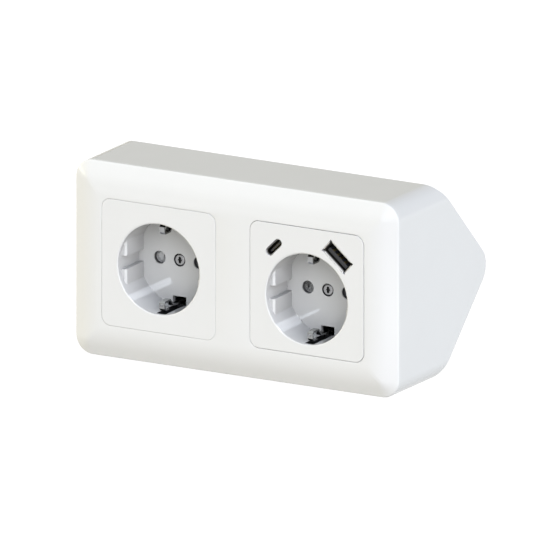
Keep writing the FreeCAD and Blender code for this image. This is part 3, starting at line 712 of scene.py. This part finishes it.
def build_pin_hole_shade_collars():
    """Dark collar inside each pin hole, behind its edge, with a coned end: a dark sheet that stands in for the shade on
    the hole's wall.
    """
    bm = bmesh.new()
    n = 72
    section = [
        (2.745, 0.58), (2.73, 0.52), (2.70, 0.52), (2.66, 0.58), (2.65, 0.70),
        (2.65, 1.50), (2.60, 1.80), (2.60, 1.96), (2.72, 1.98), (2.745, 1.94),
    ]
    for cx, cz in ((XL, 0.0), (XR, DZ_R)):
        for s in (-1, 1):
            rings = []
            for r, y in section:
                rings.append([
                    bm.verts.new(row(
                        cx + s * 9.5 + r * math.cos(2 * math.pi * j / n), WELL_FLOOR + y,
                        cz + r * math.sin(2 * math.pi * j / n),
                    ))
                    for j in range(n)
                ])
            for a, b in zip(rings, rings[1:] + rings[:1]):
                for j in range(n):
                    bm.faces.new((a[j], a[(j + 1) % n], b[(j + 1) % n], b[j]))
    return new_piece("pin_hole_shade_collars", bm, "port_black", "housing", (), satin_plastic("collar_painted_shade", (0.085, 0.085, 0.09)))


def build_channel_shade_troughs():
    """Dark troughs in the channels where the earth clips spring back: dark sheets that stand in for the shade in those
    channels.
    """
    bm = bmesh.new()
    y_a, y_b = -2.76, 14.2
    for cx, cz in ((XL, 0.0), (XR, DZ_R)):
        for s in (1, -1):
            outer = [(-2.18, 19.45), (-2.18, 21.4), (-2.0, 21.55), (2.0, 21.55), (2.18, 21.4), (2.18, 19.45)]
            inner = [(2.04, 19.45), (2.04, 21.3), (1.9, 21.4), (-1.9, 21.4), (-2.04, 21.3), (-2.04, 19.45)]
            u = outer + inner
            front = [bm.verts.new(row(cx + x, y_a, cz + s * z)) for x, z in u]
            back = [bm.verts.new(row(cx + x, y_b, cz + s * z)) for x, z in u]
            n = len(u)
            for j in range(n):
                bm.faces.new((front[j], front[(j + 1) % n], back[(j + 1) % n], back[j]))
            bm.faces.new(front)
            bm.faces.new(back)
            # end plates
            for y in (y_a + 0.002, y_b - 0.142):
                a = [bm.verts.new(row(cx + x, y, cz + s * z)) for x, z in reversed(inner)]
                b = [bm.verts.new(row(cx + x, y + 0.14, cz + s * z)) for x, z in reversed(inner)]
                m = len(a)
                for j in range(m):
                    bm.faces.new((a[j], a[(j + 1) % m], b[(j + 1) % m], b[j]))
                bm.faces.new(a)
                bm.faces.new(b)
    return new_piece("channel_shade_troughs", bm, "port_black", "housing")


def build_spring(side):
    """The shutter's spring, which on the real part twists with the shutter; here a still copy in spring steel takes the
    imported one's place."""
    me = nodes[side + "_shutter_spring"].data.copy()
    me.name = side + "_shutter_coil"
    o = bpy.data.objects.new(me.name, me)
    scene.collection.objects.link(o)
    me.materials.clear()
    me.materials.append(MATS["spring_steel"])
    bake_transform(o)
    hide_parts(side + "_shutter_spring")
    return o


build_screws()
build_shade_rings()
build_pin_hole_shade_collars()
build_channel_shade_troughs()
build_spring("left")
build_spring("right")


# ------------------------------------------------------------------ floor and light
bm = bmesh.new()
bmesh.ops.create_grid(bm, x_segments=2, y_segments=2, size=3.0)
floor_mesh = bpy.data.meshes.new("floor")
bm.to_mesh(floor_mesh)
bm.free()
floor = bpy.data.objects.new("floor", floor_mesh)
floor.location = (0, 0, -0.0002)
scene.collection.objects.link(floor)
fm, ft, fs, fco = surface("floor_paper")
ft.link(ft.blend(ft.remap(ft.noise(fco, 6.0, 2.0), 0.0, 1.0), (0.15, 0.15, 0.15), (0.16, 0.16, 0.16)), fs.inputs["Base Color"])
fs.inputs["Roughness"].default_value = 0.9
fs.inputs["Specular IOR Level"].default_value = 0.0
fs.inputs["Emission Color"].default_value = (1, 1, 1, 1)
# a pool of light on the floor, off to the right in front, which the frame's right side mirrors
pool = ft.node("ShaderNodeVectorMath", operation="DISTANCE")
ft.link(fco, pool.inputs[0])
pool.inputs[1].default_value = (0.19, -0.13, 0.0)
near = ft.maths("EXPONENT", ft.maths("MULTIPLY", ft.maths("POWER", ft.maths("DIVIDE", pool.outputs["Value"], 0.085), 2.0), -1.0))
ft.link(ft.maths("MULTIPLY_ADD", near, 1.6, 0.97), fs.inputs["Emission Strength"])
floor_mesh.materials.append(fm)
floor.visible_diffuse = False
floor.visible_shadow = False

# Soft light from all round: each entry is a direction, how narrow it is, and its colour.
LOBES = [
    # wide
    ((-1.0, 0.0, 0.0), 4.0, (1.27, 1.105, 0.71)),
    ((-1.0, 0.0, 1.0), 4.0, (0.58, 0.585, 0.45)),
    ((1.0, -1.0, 0.0), 4.0, (0.88, 0.83, 0.745)),
    ((1.0, -1.0, 1.0), 4.0, (0.775, 0.86, 1.03)),
    ((1.0, 0.0, 0.0), 4.0, (0.44, 0.455, 0.465)),
    # narrower
    ((-0.276, 0.851, -0.447), 14.0, (0.09, 0.085, 0.08)),
    ((0.724, 0.526, -0.447), 14.0, (0.12, 0.28, 0.33)),
    ((0.276, -0.851, 0.447), 14.0, (1.19, 1.24, 1.345)),
    ((0.263, 0.809, -0.526), 14.0, (0.28, 0.35, 0.375)),
    ((0.951, -0.309, 0.0), 14.0, (0.94, 0.89, 0.945)),
    ((0.951, 0.309, 0.0), 14.0, (0.375, 0.42, 0.42)),
    ((0.0, -1.0, 0.0), 14.0, (0.19, 0.19, 0.145)),
    ((0.588, -0.809, 0.0), 14.0, (0.74, 0.75, 0.71)),
    ((-0.951, -0.309, 0.0), 14.0, (0.85, 0.84, 0.60)),
    ((-0.951, 0.309, 0.0), 14.0, (1.015, 0.91, 0.845)),
    ((0.688, -0.5, 0.526), 14.0, (0.865, 0.895, 0.99)),
    ((-0.851, 0.0, 0.526), 14.0, (1.28, 1.21, 1.205)),
    ((0.162, -0.5, 0.851), 14.0, (0.58, 0.61, 0.735)),
    ((-0.425, -0.309, 0.851), 14.0, (0.39, 0.46, 0.595)),
    # a lamp low on the left, which draws the line along the frame's corner
    ((-0.94, -0.33, 0.07), 220.0, (3.4, 3.3, 2.8)),
]
AMBIENT = (0.0, 0.0, 0.0)


def build_world():
    world = bpy.data.worlds.new("studio")
    scene.world = world
    world.use_nodes = True
    t = Tree(world.node_tree)
    t.n.clear()
    out = t.node("ShaderNodeOutputWorld")
    bg = t.node("ShaderNodeBackground")
    t.link(bg.outputs[0], out.inputs[0])
    d = t.node("ShaderNodeTexCoord").outputs["Generated"]
    total = t.node("ShaderNodeVectorMath", operation="MULTIPLY")
    total.inputs[0].default_value = AMBIENT
    total.inputs[1].default_value = (1, 1, 1)
    total = total.outputs[0]
    for k, (way, narrow, colour) in enumerate(LOBES):
        dot = t.node("ShaderNodeVectorMath", operation="DOT_PRODUCT")
        t.link(d, dot.inputs[0])
        dot.inputs[1].default_value = Vector(way).normalized()
        power = t.maths("MULTIPLY_ADD", dot.outputs["Value"], narrow, -narrow)
        e = t.maths("EXPONENT", power)
        s = t.node("ShaderNodeVectorMath", operation="MULTIPLY_ADD", name="lobe%d" % k)
        t.link(e, s.inputs[0])
        s.inputs[1].default_value = colour
        t.link(total, s.inputs[2])
        total = s.outputs[0]
    # a plain white backdrop past the floor's edge, in low views
    seen = t.node("ShaderNodeLightPath").outputs["Is Camera Ray"]
    t.link(t.blend(seen, total, (1.0, 1.0, 1.0)), bg.inputs["Color"])
    return world


build_world()


def beam(name, x, z, run, width, power, colour=(0.94, 1.0, 1.09)):
    """A narrow beam into a well, which draws the streak across its wall and floor. It
    crosses the mouth from (x, z) along (1, 0.533), and its width is across that."""
    source = Vector((0.6292, -0.7006, 0.3365)).normalized()
    a, b = row(x, FRONT, z), row(x + run, FRONT, z + 0.533 * run)
    along = b - a
    along -= source * along.dot(source)
    data = bpy.data.lights.new(name, "AREA")
    data.shape = "RECTANGLE"
    data.size, data.size_y = along.length, width / 1000
    data.spread = 0.01
    data.energy = power * data.size * data.size_y
    data.color = colour
    o = bpy.data.objects.new(name, data)
    scene.collection.objects.link(o)
    o.location = (a + b) / 2 + source * 0.022
    along.normalize()
    m = Matrix((along, source.cross(along), source)).transposed()
    o.rotation_mode = "QUATERNION"
    o.rotation_quaternion = m.to_quaternion()
    o.visible_camera = o.visible_glossy = False
    return o


beam("beam_left", -49.00, -14.12, 25.25, 2.90, 1.10)
beam("beam_right_wall", 21.90, -17.55, 15.60, 4.15, 1.20)
beam("beam_right_floor", 37.50, -9.08, 9.70, 1.30, 0.95)
